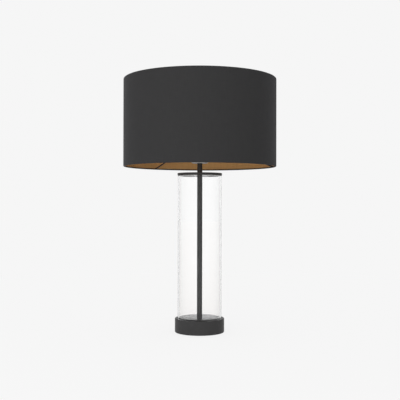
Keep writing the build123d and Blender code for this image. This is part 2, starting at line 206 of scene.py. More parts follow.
floor_mesh = bmesh.new()
bmesh.ops.create_grid(floor_mesh, x_segments=8, y_segments=8, size=floor_half_width)
floor = bpy.data.objects.new("floor", bpy.data.meshes.new("floor"))
floor_mesh.to_mesh(floor.data)
floor_mesh.free()
floor.location.z = -floor_drop
scene.collection.objects.link(floor)
floor_paper = bpy.data.materials.new("floor_paper")
floor_paper.use_nodes = True
floor_paper.node_tree.nodes.clear()
paper = Flow(floor_paper.node_tree)
paper_lit = paper.node("BsdfDiffuse", {}, {"Color": floor_tone})
paper_place = paper.node("TexCoord", {}, {}, "Object")
paper_away = paper.node("VectorMath", {"operation": "LENGTH"}, {0: paper_place}, "Value")
paper_open = paper.sum("DIVIDE", paper_away, paper_away + shaded_reach)
paper_in_glass = paper_open.mix(shaded_through_glass, paper_through_glass)
paper_ray = paper.node("LightPath", {}, {}, "Is Transmission Ray")
paper_beside = paper.node("SeparateXYZ", {}, {"Vector": paper_place}, "X")
paper_aim = paper.sum("DIVIDE", paper_beside.beside("Y"), paper_away)
paper_strip = paper_strip_half_width - abs(paper.sum("DIVIDE", paper_beside, paper_away))
paper_inside = (paper_strip * (1 / paper_strip_spread)).mix(paper_beside_tone, paper_in_gloss_tone)
paper_edge = paper_open.mix(glass_edge_tone_low, glass_edge_tone)
paper_in_gloss = in_gloss(paper_ray, paper_aim, paper_inside, paper_edge)
paper_near = paper.sum("MAXIMUM", 1 - paper_away * (1 / floor_shadow_reach), 0.0)
paper_shown = paper_ray.mix(paper_near.mix(sweep_tone, floor_glow), paper_in_glass)
paper_shown = paper_ray.beside("Glossy Depth").mix(paper_shown, paper_in_gloss)
paper_glow = paper.node("Emission", {}, {"Color": paper_shown})
paper_lit_share = floor_shadow_share * (1 - paper_ray.beside("Is Camera Ray") * (1 - paper_near))
paper_seen = paper.node("MixShader", {}, {0: paper_lit_share, 1: paper_glow, 2: paper_lit})
paper_all = paper.node("MixShader", {}, {0: seen_directly(paper), 1: paper_lit, 2: paper_seen})
paper.node("OutputMaterial", {}, {"Surface": paper_all})
floor.data.materials.append(floor_paper)

for name, size, place, watts in (
    ("soft_light", soft_light_size, soft_light_place, soft_light_watts),
    ("low_light", low_light_size, low_light_place, low_light_watts),
):
    light = bpy.data.lights.new(name, "AREA")
    light.shape = "RECTANGLE"
    light.size, light.size_y = size
    light.energy = watts
    light_holder = bpy.data.objects.new(name, light)
    light_holder.location = place
    light_holder.rotation_euler = (math.pi / 2, 0, 0)
    light_holder.visible_camera = False
    light_holder.visible_glossy = False
    light_holder.visible_transmission = False
    scene.collection.objects.link(light_holder)


# Base foot: a moulded rubber disc pressed into the open underside of the base, with a pad that stands a
# little proud so that the lamp doesn't slide. Three shallow grooves run round its underside.
sharp_edge = math.radians(32)
arc_steps = 5


def corner_arc(before, corner, after, rounding, steps):
    """Points of the arc that rounds off a corner between the point before it and the one after it."""
    back = (before - corner).normalized()
    onward = (after - corner).normalized()
    half = back.angle(onward) / 2
    reach = rounding / math.tan(half)
    centre = corner + (back + onward).normalized() * rounding / math.sin(half)
    turn = math.pi - 2 * half
    points = []
    for step in range(steps + 1):
        share = step / steps
        first = (corner + back * reach - centre) * math.sin((1 - share) * turn)
        last = (corner + onward * reach - centre) * math.sin(share * turn)
        points.append(centre + (first + last) / math.sin(turn))
    return points


def rounded(*corners):
    """Closed outline through corners of (radius, height) or (radius, height, rounding)."""
    places = [Vector(corner[:2]) for corner in corners]
    outline = []
    for index, corner in enumerate(corners):
        if len(corner) == 2:
            outline.append(places[index])
            continue
        after = places[(index + 1) % len(corners)]
        outline += corner_arc(places[index - 1], places[index], after, corner[2], arc_steps)
    return outline


def turned(outline, around=160, swell=None):
    """Mesh turned about Z from a closed outline. swell(angle, radius, height) may shift each point."""
    mesh = bmesh.new()
    rings = []
    for radius, height in outline:
        ring = []
        for step in range(around if radius else 1):
            angle = math.tau * step / around
            place = swell(angle, radius, height) if swell else (radius, height)
            ring.append(mesh.verts.new((place[0] * math.cos(angle), place[0] * math.sin(angle), place[1])))
        rings.append(ring)
    for ring, after in zip(rings, rings[1:] + rings[:1]):
        for step in range(around):
            corners = [ring[step % len(ring)], ring[(step + 1) % len(ring)]]
            corners += [after[(step + 1) % len(after)], after[step % len(after)]]
            corners = list(dict.fromkeys(corners))
            if len(corners) > 2:
                mesh.faces.new(corners)
    bmesh.ops.recalc_face_normals(mesh, faces=mesh.faces)
    return mesh


def smoothed(made):
    """Rounds off the shading, with the broad faces kept flat right up to their rounded edges."""
    made.data.polygons.foreach_set("use_smooth", [True] * len(made.data.polygons))
    made.data.set_sharp_from_angle(angle=sharp_edge)
    made.modifiers.new("broad_faces", "WEIGHTED_NORMAL").keep_sharp = True


def fitted(name, mesh, finish, body, node):
    """Piece made from a mesh: it rides on a body, stands for a CAD node and wears its slot's finish."""
    data = bpy.data.meshes.new(name)
    mesh.to_mesh(data)
    mesh.free()
    data.materials.append(finish)
    made = bpy.data.objects.new(name, data)
    smoothed(made)
    scene.collection.objects.link(made)
    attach(made, body)
    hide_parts(node)
    return made


def finish_of(slot, sockets_of):
    """Material named for a slot of the record. sockets_of says what each Principled socket takes."""
    finish = bpy.data.materials.get(slot) or bpy.data.materials.new(slot)
    finish.use_nodes = True
    finish.node_tree.nodes.clear()
    start = Flow(finish.node_tree)
    surface = start.node("BsdfPrincipled", {}, sockets_of(start))
    start.node("OutputMaterial", {}, {"Surface": surface})
    return finish


def grain(start, size, detail=2.0, stretch=(1, 1, 1)):
    """Noise whose lumps are about one size across, in metres, drawn out along the larger stretches."""
    place = start.node("TexCoord", {}, {}, "Object")
    scale = tuple(1 / (size * along) for along in stretch)
    place = place.node("VectorMath", {"operation": "MULTIPLY"}, {0: place, 1: scale})
    return place.node("TexNoise", {}, {"Vector": place, "Scale": 1.0, "Detail": detail})


def bumped(height, depth, strength=1.0):
    """Normal from a height flow whose 0 to 1 is that many metres deep."""
    return height.node("Bump", {}, {"Height": height, "Distance": depth, "Strength": strength})


def foot_rubber(start):
    """Matt rubber with a fine speckle and faint paler patches."""
    speckle = grain(start, size=0.0012)
    return {
        "Base Color": grain(start, size=0.02).mix(foot_black, foot_dusty),
        "Roughness": 0.75 + 0.15 * speckle,
        "Specular IOR Level": 0.3,
        "Normal": bumped(speckle, depth=0.00008),
    }


foot_black = (0.012, 0.012, 0.012, 1)
foot_dusty = (0.022, 0.021, 0.02, 1)
foot_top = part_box("base_foot")[1]
foot_rounding = 0.0004
foot_pad_inset = 0.005
foot_proud = 0.001
foot_groove_radii = (0.018, 0.031, 0.044)
foot_groove_width = 0.003
foot_groove_depth = 0.0006
foot_outline = [(0, foot_top.z), (0, 0)]
for groove_radius in foot_groove_radii:
    foot_outline += [
        (groove_radius - foot_groove_width / 2, 0, foot_rounding / 2),
        (groove_radius - foot_groove_width / 4, foot_groove_depth),
        (groove_radius + foot_groove_width / 4, foot_groove_depth),
        (groove_radius + foot_groove_width / 2, 0, foot_rounding / 2),
    ]
foot_outline += [
    (foot_top.x - foot_pad_inset, 0, foot_rounding),
    (foot_top.x - foot_pad_inset, foot_proud),
    (foot_top.x, foot_proud, foot_rounding),
    (foot_top.x, foot_top.z, foot_rounding),
]
foot_finish = finish_of("foot_rubber", foot_rubber)
fitted("rubber_foot", turned(rounded(*foot_outline)), foot_finish, "stand", "base_foot")


# Weight, rod, nut and washer: a rough iron casting in the base, and the zinc-plated lamp rod that pulls
# the whole stand together. All of it is out of sight, and keeps the shapes it was built with.
def dressed(finish, *nodes):
    """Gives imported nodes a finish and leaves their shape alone."""
    for node in nodes:
        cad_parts[node].data.materials.clear()
        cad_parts[node].data.materials.append(finish)


def weight_iron(start):
    """Bare iron with the skin of the sand that it was cast in."""
    sand = grain(start, size=0.0025, detail=4.0)
    return {
        "Base Color": sand.mix(iron_dark, iron_pale),
        "Metallic": 0.6,
        "Roughness": 0.6 + 0.25 * sand,
        "Normal": bumped(sand, depth=0.0004),
    }


def zinc_steel(start):
    """Zinc plate with a fine spangle."""
    place = start.node("TexCoord", {}, {}, "Object")
    spangle = start.node("TexVoronoi", {}, {"Vector": place, "Scale": zinc_spangles_per_metre})
    return {
        "Base Color": spangle.mix(zinc_dark, zinc_pale),
        "Metallic": 1.0,
        "Roughness": 0.28 + 0.16 * grain(start, size=0.003),
    }


iron_dark = (0.03, 0.028, 0.027, 1)
iron_pale = (0.085, 0.078, 0.072, 1)
zinc_dark = (0.5, 0.51, 0.52, 1)
zinc_pale = (0.66, 0.66, 0.65, 1)
zinc_spangles_per_metre = 900.0
zinc_finish = finish_of("zinc_steel", zinc_steel)
dressed(finish_of("weight_iron", weight_iron), "base_weight")
dressed(zinc_finish, "threaded_rod", "rod_nut", "rod_washer")


# Base: a spun steel cup, painted satin black. A groove for the glass runs round the crowned plate in its
# top, and the cord hole is drilled through the back of its wall.
glass_low, glass_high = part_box("glass_column")
glass_wall = 0.0025
glass_groove_gap = 0.0003
groove_depth = 0.003
groove_rounding = 0.0004
rod_hole_radius = 0.0053
base_low, base_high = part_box("base_shell")
base_rounding = 0.0018
plate_step = 0.0016
plate_crown = 0.0014
plate_rounding = 0.001
plate_seat_radius = 0.007
plate_steps = 12
base_wall = 0.0025
base_top_thickness = 0.006
cord_hole_radius = 0.0052
base_black = (0.0345, 0.034, 0.0345, 1)
base_worn = (0.0432, 0.0422, 0.0427, 1)
base_facets = 192


def satin_paint(tone, light_tone):
    """Sockets of a stoved satin black: a fine orange peel, and a sheen that varies a little."""
    def sockets(start):
        peel = grain(start, size=0.0011, detail=1.0)
        return {
            "Base Color": grain(start, size=0.03).mix(tone, light_tone),
            "Roughness": 0.2 + 0.1 * grain(start, size=0.012, detail=3.0),
            "Normal": bumped(peel, depth=0.00003, strength=0.35),
        }
    return sockets


def cut_away(name, mesh, finish, body, node, cutter):
    """Piece with a cutter's space taken out of it."""
    made = fitted(name, mesh, finish, body, node)
    made.modifiers.clear()
    tool_mesh = bpy.data.meshes.new("cutter")
    cutter.to_mesh(tool_mesh)
    cutter.free()
    tool = bpy.data.objects.new("cutter", tool_mesh)
    scene.collection.objects.link(tool)
    cut = made.modifiers.new("cut", "BOOLEAN")
    cut.solver = "EXACT"
    cut.object = tool
    bpy.context.view_layer.update()
    shape = made.evaluated_get(bpy.context.evaluated_depsgraph_get())
    whole = made.data
    made.data = bpy.data.meshes.new_from_object(shape)
    made.modifiers.clear()
    smoothed(made)
    bpy.data.objects.remove(tool)
    bpy.data.meshes.remove(tool_mesh)
    bpy.data.meshes.remove(whole)
    return made


base_paint = finish_of("painted_base", satin_paint(base_black, base_worn))
groove_inside = glass_high.x - glass_wall - glass_groove_gap
groove_outside = glass_high.x + glass_groove_gap
plate_rim = base_high.z - plate_crown
base_top = plate_rim - plate_step
groove_floor = base_top - groove_depth
base_ceiling = base_top - base_top_thickness
base_corners = [(rod_hole_radius, base_high.z)]
for step in range(plate_steps):
    crown_share = step / plate_steps
    crown_radius = plate_seat_radius + (groove_inside - plate_seat_radius) * crown_share
    base_corners.append((crown_radius, base_high.z - plate_crown * crown_share**2))
base_corners += [
    (groove_inside, plate_rim, plate_rounding),
    (groove_inside, groove_floor),
    (groove_outside, groove_floor),
    (groove_outside, base_top, groove_rounding),
    (base_high.x, base_top, base_rounding),
    (base_high.x, base_low.z, base_rounding),
    (base_high.x - base_wall, base_low.z),
    (base_high.x - base_wall, base_ceiling),
    (rod_hole_radius, base_ceiling),
]
base_outline = rounded(*base_corners)
bush_low, bush_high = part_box("cord_bush")
cord_level = (bush_low.z + bush_high.z) / 2
drill = bmesh.new()
drill_place = Matrix.Translation((0, base_high.x, cord_level)) @ Matrix.Rotation(math.pi / 2, 4, "X")
bmesh.ops.create_cone(
    drill, cap_ends=True, segments=48, radius1=cord_hole_radius, radius2=cord_hole_radius,
    depth=base_high.x, matrix=drill_place,
)
cut_away("base_cup", turned(base_outline, base_facets), base_paint, "stand", "base_shell", drill)


# Cord bush: a sleeve of moulded black nylon that lines the cord hole and keeps its edge off the cord. It is
# shaped to sit on the round wall, and snaps into the hole.
def moulded(tone, light_tone, roughness):
    """Sockets of a moulded plastic: fine spark texture over one even colour."""
    def sockets(start):
        spark = grain(start, size=0.0006)
        return {
            "Base Color": grain(start, size=0.015).mix(tone, light_tone),
            "Roughness": roughness + 0.12 * spark,
            "Normal": bumped(spark, depth=0.00003, strength=0.5),
        }
    return sockets


bush_black = (0.011, 0.011, 0.011, 1)
bush_worn = (0.017, 0.017, 0.017, 1)
bush_roughness = 0.42
dressed(finish_of("bush_plastic", moulded(bush_black, bush_worn, bush_roughness)), "cord_bush")


# Gaskets: two soft rings of black rubber at the glass rims, one in the groove of the base and one under
# the cap. The pull of the rod squeezes them, so that the glass never meets metal.
def band(low, high, wall, rounding):
    """Outline of a plain ring in a box from its lowest to its highest corner, rounded at all four edges."""
    return rounded(
        (high.x - wall, low.z, rounding),
        (high.x, low.z, rounding),
        (high.x, high.z, rounding),
        (high.x - wall, high.z, rounding),
    )


def gasket_rubber(start):
    """Soft rubber, a little smoother than the foot's."""
    return {
        "Base Color": grain(start, size=0.01).mix(gasket_black, gasket_dusty),
        "Roughness": 0.6 + 0.1 * grain(start, size=0.002),
        "Specular IOR Level": 0.3,
    }


gasket_black = (0.012, 0.012, 0.012, 1)
gasket_dusty = (0.02, 0.02, 0.02, 1)
gasket_finish = finish_of("gasket_rubber", gasket_rubber)
gasket_rounding = 0.0003
for gasket in ("lower_gasket", "upper_gasket"):
    gasket_ring = band(*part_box(gasket), glass_wall, gasket_rounding)
    fitted(gasket + "_ring", turned(gasket_ring), gasket_finish, "stand", gasket)


# Glass column: a drawn clear tube, cut and fire-polished so that both rims are round. It takes a faint
# grey from its own thickness, which shows only at the two edges.
glass_rim_rounding = 0.0008
glass_grey = (0.55, 0.57, 0.56, 1)
glass_grey_per_metre = 7.0
glass_facets = 256
glass_outline = band(glass_low, glass_high, glass_wall, glass_rim_rounding)
clear_glass = bpy.data.materials["clear_glass"]
clear_glass.use_nodes = True
clear_glass.node_tree.nodes.clear()
glass = Flow(clear_glass.node_tree)
glass_surface = glass.node("BsdfPrincipled", {}, {
    "Base Color": (1, 1, 1, 1),
    "Roughness": 0.0,
    "IOR": 1.47,
    "Transmission Weight": 1.0,
})
glass_body = glass.node("VolumeAbsorption", {}, {"Color": glass_grey, "Density": glass_grey_per_metre})
lamp_ray = glass.node("LightPath", {}, {}, "Is Shadow Ray")
glass_let_through = glass.node("BsdfTransparent", {}, {})
glass_lit = glass.node("MixShader", {}, {0: lamp_ray, 1: glass_surface, 2: glass_let_through})
glass.node("OutputMaterial", {}, {"Surface": glass_lit, "Volume": glass_body})
fitted("glass_tube", turned(glass_outline, glass_facets), clear_glass, "stand", "glass_column")


# Cover tubes: thin steel tube, lacquered black and slipped over the lamp rod, one long length inside the
# glass and one short neck between the cap and the lampholder.
tube_rounding = 0.0002
tube_black = (0.035, 0.035, 0.035, 1)
tube_worn = (0.0448, 0.0438, 0.0438, 1)
tube_facets = 64
tube_paint = finish_of("tube_black", satin_paint(tube_black, tube_worn))
for tube in ("lower_tube", "neck_tube"):
    tube_low, tube_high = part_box(tube)
    tube_outline = rounded(
        (rod_hole_radius, tube_low.z),
        (tube_high.x, tube_low.z, tube_rounding),
        (tube_high.x, tube_high.z, tube_rounding),
        (rod_hole_radius, tube_high.z),
    )
    fitted(tube + "_sleeve", turned(tube_outline, tube_facets), tube_paint, "stand", tube)


# Cap: a disc that closes the glass, turned from steel and painted like the base. The spigot below it fits
# inside the glass, and the pull of the rod holds it down.
cap_low, cap_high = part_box("cap_disc")
cap_rounding = 0.0007
cap_spigot_depth = 0.0018
cap_seat = cap_low.z + cap_spigot_depth
cap_outline = rounded(
    (rod_hole_radius, cap_low.z),
    (groove_inside, cap_low.z, cap_rounding),
    (groove_inside, cap_seat),
    (cap_high.x, cap_seat, cap_rounding),
    (cap_high.x, cap_high.z, cap_rounding),
    (rod_hole_radius, cap_high.z),
)
fitted("glass_cap", turned(cap_outline, base_facets), base_paint, "stand", "cap_disc")


# Lampholder: a white moulded dome that a small screw grips on the rod, the threaded skirt screwed over it,
# and the bar switch that is pushed through the dome from side to side.
holder_white = (0.79, 0.78, 0.75, 1)
holder_pale = (0.85, 0.84, 0.81, 1)
holder_roughness = 0.3
holder_finish = finish_of("holder_plastic", moulded(holder_white, holder_pale, holder_roughness))
dressed(holder_finish, "holder_dome", "switch_bar")
dressed(zinc_finish, "set_screw")
skirt_low, skirt_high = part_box("holder_skirt")
fitter_low, fitter_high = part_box("fitter")
ring_low, ring_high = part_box("shade_ring")
skirt_thread_radius = 0.0195
skirt_thread_depth = 0.0008
skirt_thread_pitch = 0.0025
skirt_thread_steps = 96
skirt_facets = 128
skirt_collar_radius = 0.021
skirt_collar_bore = 0.0181
skirt_bore = 0.0169
skirt_mouth = 0.0152
skirt_lip = 0.002
skirt_flange = 0.0025
skirt_rounding = 0.0006
spigot_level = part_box("holder_dome")[1].z


def thread_dip(angle, height, pitch):
    """From 0 on a thread's crest to 1 in its root, at an angle and a height."""
    return 0.5 - 0.5 * math.cos(math.tau * (height / pitch - angle / math.tau))


def skirt_thread(angle, radius, height):
    """Thread above the flange, which fades in and out over one pitch."""
    too_far_in = radius < skirt_thread_radius - skirt_thread_depth
    too_far_out = radius > skirt_thread_radius + skirt_rounding
    if too_far_in or too_far_out or height < fitter_low.z:
        return radius, height
    fade_in = (height - fitter_low.z) / skirt_thread_pitch
    fade_out = (skirt_high.z - height) / skirt_thread_pitch
    depth = skirt_thread_depth * min(1, fade_in, fade_out)
    return radius - depth * thread_dip(angle, height, skirt_thread_pitch), height


skirt_outline = rounded(
    (skirt_mouth, skirt_high.z - skirt_lip),
    (skirt_bore, skirt_high.z - skirt_lip),
    (skirt_bore, spigot_level),
    (skirt_collar_bore, spigot_level),
    (skirt_collar_bore, skirt_low.z),
    (skirt_collar_radius, skirt_low.z, skirt_rounding),
    (skirt_collar_radius, fitter_low.z - skirt_flange),
    (skirt_high.x, fitter_low.z - skirt_flange, skirt_rounding),
    (skirt_high.x, fitter_low.z, skirt_rounding),
)
for step in range(skirt_thread_steps + 1):
    thread_height = fitter_low.z + (skirt_high.z - fitter_low.z) * step / skirt_thread_steps
    skirt_outline.append((skirt_thread_radius, thread_height))
skirt_outline.append((skirt_mouth, skirt_high.z))
skirt_mesh = turned(skirt_outline, skirt_facets, skirt_thread)
fitted("holder_skirt_moulding", skirt_mesh, holder_finish, "stand", "holder_skirt")


# Inside the lampholder: a fired ceramic cup with the brass screw shell, the tongue that meets the bulb's
# tip, and two terminals with plated screws. The dome and the skirt close over it.
def core_ceramic(start):
    """White fired clay with a slightly wavy skin."""
    glaze = grain(start, size=0.006)
    return {
        "Base Color": glaze.mix(ceramic_grey, ceramic_white),
        "Roughness": 0.22 + 0.1 * glaze,
        "Normal": bumped(glaze, depth=0.0001, strength=0.3),
    }


def contact_brass(start):
    """Bright brass with a little tarnish."""
    tarnish = grain(start, size=0.004, detail=3.0)
    return {
        "Base Color": tarnish.mix(brass_dull, brass_bright),
        "Metallic": 1.0,
        "Roughness": 0.2 + 0.25 * tarnish,
    }


ceramic_grey = (0.74, 0.72, 0.68, 1)
ceramic_white = (0.82, 0.81, 0.78, 1)
brass_dull = (0.62, 0.42, 0.15, 1)
brass_bright = (0.75, 0.56, 0.24, 1)
dressed(finish_of("core_ceramic", core_ceramic), "holder_core")
dressed(finish_of("contact_brass", contact_brass), "screw_shell", "centre_contact", "terminals")
dressed(zinc_finish, "terminal_screws")


# Shade carrier: black-coated wire rings in both hems, and three wires bent up from the lower ring to a
# pressed washer that drops over the lampholder. A bead of weld holds each wire at both ends.
def frame_wire(start):
    """Dipped black coat, slightly uneven."""
    coat = grain(start, size=0.0015)
    return {
        "Base Color": coat.mix(wire_black, wire_worn),
        "Roughness": 0.38 + 0.15 * coat,
        "Normal": bumped(coat, depth=0.00004, strength=0.6),
    }


wire_black = (0.010, 0.010, 0.010, 1)
wire_worn = (0.018, 0.017, 0.016, 1)
wire_finish = finish_of("frame_wire", frame_wire)
dressed(wire_finish, "lower_ring", "upper_ring")
arm_radius = 0.0015
arm_first_angle = math.radians(9.2)
arm_count = 3
arm_tip_length = 0.008
arm_bend_offset = 0.002
arm_bend_radius = 0.008
arm_bend_steps = 10
arm_sink = 0.0002
weld_radius = 0.0022
weld_spread_shares = (1.3, 1.3, 0.8, 1)
foot_weld_share = 0.012
tip_weld_share = 0.3
ring_wire_low, ring_wire_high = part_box("lower_ring")
ring_line_radius = ring_wire_high.x - (ring_wire_high.z - ring_wire_low.z) / 2
arm_level = fitter_low.z - arm_radius + arm_sink
arm_foot = Vector((ring_line_radius, 0, ring_wire_low.z + arm_radius))
arm_corner = Vector((fitter_high.x + arm_bend_offset, 0, arm_level))
arm_tip = Vector((fitter_high.x - arm_tip_length, 0, arm_level))
arm_bend = corner_arc(arm_foot, arm_corner, arm_tip, arm_bend_radius, arm_bend_steps)
arm_line = [arm_foot, *arm_bend, arm_tip]
arm_angles = [arm_first_angle + math.tau * arm / arm_count for arm in range(arm_count)]
foot_weld = arm_foot.lerp(arm_corner, foot_weld_share)
tip_weld = arm_tip.lerp(arm_corner, tip_weld_share)
carrier = bmesh.new()
for arm_angle in arm_angles:
    swing = Matrix.Rotation(arm_angle, 4, "Z")
    wire_path = bpy.data.curves.new("arm", "CURVE")
    wire_path.dimensions = "3D"
    wire_path.bevel_depth = arm_radius
    wire_path.bevel_resolution = 5
    wire_path.use_fill_caps = True
    wire_run = wire_path.splines.new("POLY")
    wire_run.points.add(len(arm_line) - 1)
    for point, place in zip(wire_run.points, arm_line):
        point.co = (*(swing @ place), 1)
    wire_object = bpy.data.objects.new("arm", wire_path)
    wire_mesh = bpy.data.meshes.new_from_object(wire_object)
    carrier.from_mesh(wire_mesh)
    bpy.data.objects.remove(wire_object)
    bpy.data.curves.remove(wire_path)
    bpy.data.meshes.remove(wire_mesh)
    for weld in (foot_weld, tip_weld):
        bead = Matrix.Translation(swing @ weld) @ Matrix.Diagonal(weld_spread_shares)
        bmesh.ops.create_uvsphere(carrier, u_segments=20, v_segments=12, radius=weld_radius, matrix=bead)
fitted("carrier_wires", carrier, wire_finish, "shade", "spider_arms")

fitter_bore = 0.0205
fitter_rounding = 0.0005
fitter_rib_radius = 0.033
fitter_rib_width = 0.003
fitter_rib_height = 0.0008
fitter_facets = 128
fitter_outline = rounded(
    (fitter_bore, fitter_low.z, fitter_rounding),
    (fitter_high.x, fitter_low.z, fitter_rounding),
    (fitter_high.x, fitter_high.z, fitter_rounding),
    (fitter_rib_radius + fitter_rib_width, fitter_high.z),
    (fitter_rib_radius + fitter_rib_width / 2, fitter_high.z - fitter_rib_height),
    (fitter_rib_radius - fitter_rib_width / 2, fitter_high.z - fitter_rib_height),
    (fitter_rib_radius - fitter_rib_width, fitter_high.z),
    (fitter_bore, fitter_high.z, fitter_rounding),
)
fitted("carrier_washer", turned(fitter_outline, fitter_facets), wire_finish, "shade", "fitter")


# Lining: metallised film in copper gold, glued to the inside of the fabric from one wire ring to the other.
# It keeps faint upright marks from the roller that pressed it down.
lining_low, lining_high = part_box("shade_lining")
lining_thickness = 0.0005
lining_copper = (0.56, 0.33, 0.132, 1)
lining_gold = (0.76, 0.475, 0.205, 1)
lining_rub_stretch = 30
lining_facets = 288


def lining_foil(start):
    """Film with a soft satin gloss: fine upright rubbing marks and a slow swell of the glue under it."""
    rubbed = grain(start, size=0.0016, detail=3.0, stretch=(1, 1, lining_rub_stretch))
    swell = grain(start, size=0.03, detail=1.0)
    return {
        "Base Color": rubbed.mix(lining_copper, lining_gold),
        "Metallic": 0.6,
        "Roughness": 0.34 + 0.12 * rubbed,
        "Normal": bumped(rubbed + 2.0 * swell, depth=0.00008, strength=0.5),
    }


lining_finish = finish_of("lining_foil", lining_foil)
lining_outline = rounded(
    (lining_high.x - lining_thickness, lining_low.z),
    (lining_high.x, lining_low.z),
    (lining_high.x, lining_high.z),
    (lining_high.x - lining_thickness, lining_high.z),
)
fitted("foil_lining", turned(lining_outline, lining_facets), lining_finish, "shade", "shade_lining")


# Shade cover: charcoal woven cotton on a stiff drum. Both edges are rolled in over the wire rings, and
# the two ends of the cloth lap over each other in an upright seam at the back.
cover_low, cover_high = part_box("shade_cover")
cloth_thickness = 0.0005
hem_width = 0.00365
hem_height = 0.0022
hem_rounding = 0.0019
seam_middle = math.radians(90)
seam_width = 0.011
seam_step = 0.0004
seam_ramp_start_share = 2.0
seam_ramp_share = 1.5
# Cloth colours: the dark one serves dark slubs and painted shade in the weave's hollows, the light one pale
# slubs and painted light on the thread crests.
cloth_dark_slub_and_hollow_shade = (0.0113, 0.0112, 0.0118, 1)
cloth_pale_slub_and_crest_light = (0.0475, 0.0468, 0.0476, 1)
slub_thickness = 0.0012
slub_stretch = 16
drum_facets = 384
thread_pitch = 0.0007
threads_around = 2 * round(math.pi * cover_high.x / thread_pitch)


def shade_fabric(start):
    """Plain weave: threads go over and under each other, with slubs both ways. Painted shade darkens the
    hollows between threads and painted light brightens their crests, mixed with the slubs' own tone.
    """
    place = start.node("TexCoord", {}, {}, "Object")
    across = place.node("SeparateXYZ", {}, {"Vector": place})
    up = across.beside("Z")
    angle = across.sum("ARCTAN2", across.beside("Y"), across)
    warp = across.sum("SINE", angle * (threads_around / 2))
    weft = across.sum("SINE", up * (math.pi / thread_pitch))
    over = 0.5 + 0.5 * warp * weft
    height = abs(warp) * over + abs(weft) * (1 - over)
    upright_slub = grain(start, slub_thickness, stretch=(1, 1, slub_stretch))
    level_slub = grain(start, slub_thickness, stretch=(slub_stretch, slub_stretch, 1))
    slub = 0.5 * upright_slub + 0.5 * level_slub
    # Painted shade and light: the colour follows the weave's height, darker in the hollows and lighter on
    # the crests, blended with the slubs' real tone.
    tone = 0.55 * height + 0.45 * slub
    return {
        "Base Color": tone.mix(cloth_dark_slub_and_hollow_shade, cloth_pale_slub_and_crest_light),
        "Roughness": 0.78 + 0.14 * slub,
        "Specular IOR Level": 0.25,
        "Sheen Weight": 0.095,
        "Sheen Roughness": 0.4,
        "Sheen Tint": (0.9, 0.9, 0.95, 1),
        "Normal": bumped(height + 0.6 * slub, depth=0.00012, strength=0.5),
    }


def seam_lap(angle, radius, height):
    """The outer end of the cloth lies over the inner one: a slow rise to the lap, then a clean edge."""
    if radius < cover_high.x - 2 * cloth_thickness:
        return radius, height
    along = (angle - seam_middle) * cover_high.x
    risen = (along + seam_ramp_start_share * seam_width) / (seam_ramp_share * seam_width)
    rise = min(1, max(0, risen))
    fall = 1 if along < seam_width / 2 else 0
    return radius + seam_step * rise * rise * (3 - 2 * rise) * fall, height


cover_finish = finish_of("shade_fabric", shade_fabric)
hem_inside = cover_high.x - cloth_thickness - hem_width
cover_outline = rounded(
    (cover_high.x, cover_low.z, hem_rounding),
    (cover_high.x, cover_high.z, hem_rounding),
    (hem_inside, cover_high.z, hem_rounding),
    (hem_inside, cover_high.z - hem_height),
    (hem_inside + cloth_thickness, cover_high.z - hem_height),
    (hem_inside + cloth_thickness, cover_high.z - cloth_thickness, hem_rounding - cloth_thickness),
    (cover_high.x - cloth_thickness, cover_high.z - cloth_thickness, hem_rounding - cloth_thickness),
    (cover_high.x - cloth_thickness, cover_low.z + cloth_thickness, hem_rounding - cloth_thickness),
    (hem_inside + cloth_thickness, cover_low.z + cloth_thickness, hem_rounding - cloth_thickness),
    (hem_inside + cloth_thickness, cover_low.z + hem_height),
    (hem_inside, cover_low.z + hem_height),
    (hem_inside, cover_low.z, hem_rounding),
)
notch = bmesh.new()
notch_gap = 0.0003
notch_length = 0.02
notch_radius = arm_radius + notch_gap
along_arm = (arm_corner - arm_foot).normalized()
notch_aim = along_arm.to_track_quat("Z", "Y").to_matrix().to_4x4()
notch_place = Matrix.Translation(arm_foot + along_arm * notch_length / 2) @ notch_aim
for arm_angle in arm_angles:
    bmesh.ops.create_cone(
        notch, cap_ends=True, segments=24, radius1=notch_radius, radius2=notch_radius,
        depth=notch_length, matrix=Matrix.Rotation(arm_angle, 4, "Z") @ notch_place,
    )
drum_mesh = turned(cover_outline, drum_facets, seam_lap)
drum = cut_away("fabric_drum", drum_mesh, cover_finish, "shade", "shade_cover", notch)


# Shade ring: a white moulded ring with finger grips. It is screwed down the skirt's thread by hand and
# presses the carrier's washer on the flange, which holds the shade.
ring_bore = 0.0198
ring_flange = 0.0025
ring_grip_radius = 0.024
ring_grip_count = 24
ring_grip_depth = 0.0011
ring_grip_power = 0.7
ring_rounding = 0.0006
ring_facets = 288


def finger_grips(angle, radius, height):
    """Scoops round the upper part of the ring, above its flange."""
    too_far_in = radius < ring_grip_radius - 2 * ring_rounding
    too_far_out = radius > ring_grip_radius + ring_rounding / 2
    if too_far_in or too_far_out or height < ring_low.z + ring_flange:
        return radius, height
    dip = max(0, math.cos(ring_grip_count * angle)) ** ring_grip_power
    return radius - ring_grip_depth * dip, height


ring_outline = rounded(
    (ring_bore, ring_low.z),
    (ring_high.x, ring_low.z, ring_rounding),
    (ring_high.x, ring_low.z + ring_flange, ring_rounding),
    (ring_grip_radius, ring_low.z + ring_flange, ring_rounding),
    (ring_grip_radius, ring_high.z, ring_rounding),
    (ring_bore, ring_high.z, ring_rounding),
)
ring_mesh = turned(ring_outline, ring_facets, finger_grips)
fitted("grip_ring", ring_mesh, holder_finish, "clamp_ring", "shade_ring")


